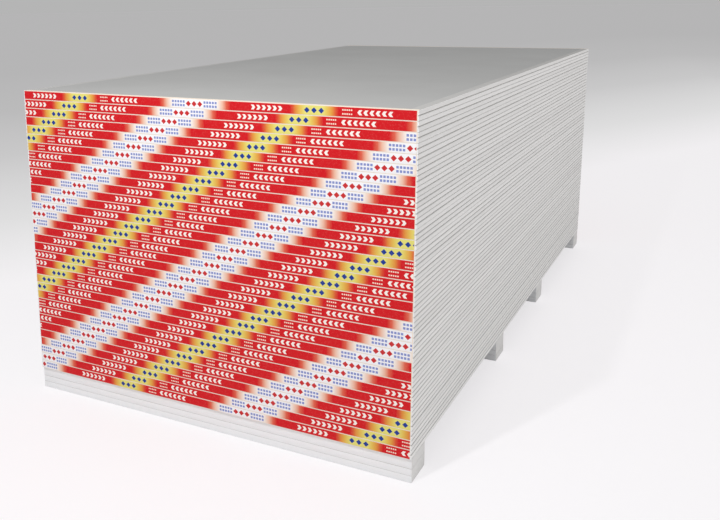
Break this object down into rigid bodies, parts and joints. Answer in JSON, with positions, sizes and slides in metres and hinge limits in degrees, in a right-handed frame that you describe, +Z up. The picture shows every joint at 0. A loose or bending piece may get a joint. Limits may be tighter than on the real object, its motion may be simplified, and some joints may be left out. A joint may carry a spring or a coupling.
{
  "type": "stack of drywall sheets",
  "caption": "Lift of half-inch drywall sheets, taped in pairs at both ends with printed paper tape and laid flat on risers that leave fork gaps beneath.",
  "frame": {"origin": "on the floor, at the middle of the stack's footprint", "axes": "+X across the sheets towards the right-hand long side, +Y along the sheets away from the front end, +Z up"},
  "size_m": [1.2192, 2.4386, 0.9455],
  "materials": {
    "sheet_paper": "matte",
    "tape_paper": "satin",
    "riser_board": "matte"
  },
  "bodies": {
    "root": {"face_up_sheets": "sheet_paper", "face_down_sheets": "sheet_paper", "front_end_tapes": "tape_paper", "back_end_tapes": "tape_paper", "riser_strips_bottom": "riser_board", "riser_strips_middle": "riser_board", "riser_strips_top": "riser_board"}
  },
  "joints": []
}
